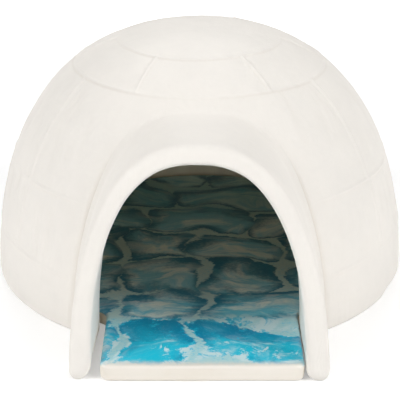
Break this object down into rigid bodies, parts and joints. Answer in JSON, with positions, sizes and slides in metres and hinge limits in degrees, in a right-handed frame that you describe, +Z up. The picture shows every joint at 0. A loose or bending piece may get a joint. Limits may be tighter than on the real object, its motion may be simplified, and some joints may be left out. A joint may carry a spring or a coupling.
{
  "type": "pet igloo",
  "caption": "Glazed ceramic igloo for small pets: a domed shell with an arched entrance porch that lifts off a loose floor plate with an ice-coloured print.",
  "frame": {"origin": "on the ground under the crown of the dome, in the middle of the floor plate's underside", "axes": "+Z up, the doorway faces -Y, +X to the right as seen from the doorway's front"},
  "size_m": [0.2, 0.2257, 0.118],
  "materials": {
    "white_glaze": "satin white glaze over a warm clay body",
    "cream_glaze": "satin cream glaze",
    "ice_print": "fired print of blue ice cobbles under a thin clear glaze"
  },
  "bodies": {
    "floor": {"floor_plate": "cream_glaze", "floor_decal": "ice_print"},
    "igloo": {"dome_shell": "white_glaze", "entrance_porch": "white_glaze"}
  },
  "joints": [
    {"name": "igloo_lift", "type": "slide", "parent": "floor", "child": "igloo", "axis": [0, 0, 1], "range_m": [0, 0.12]}
  ]
}
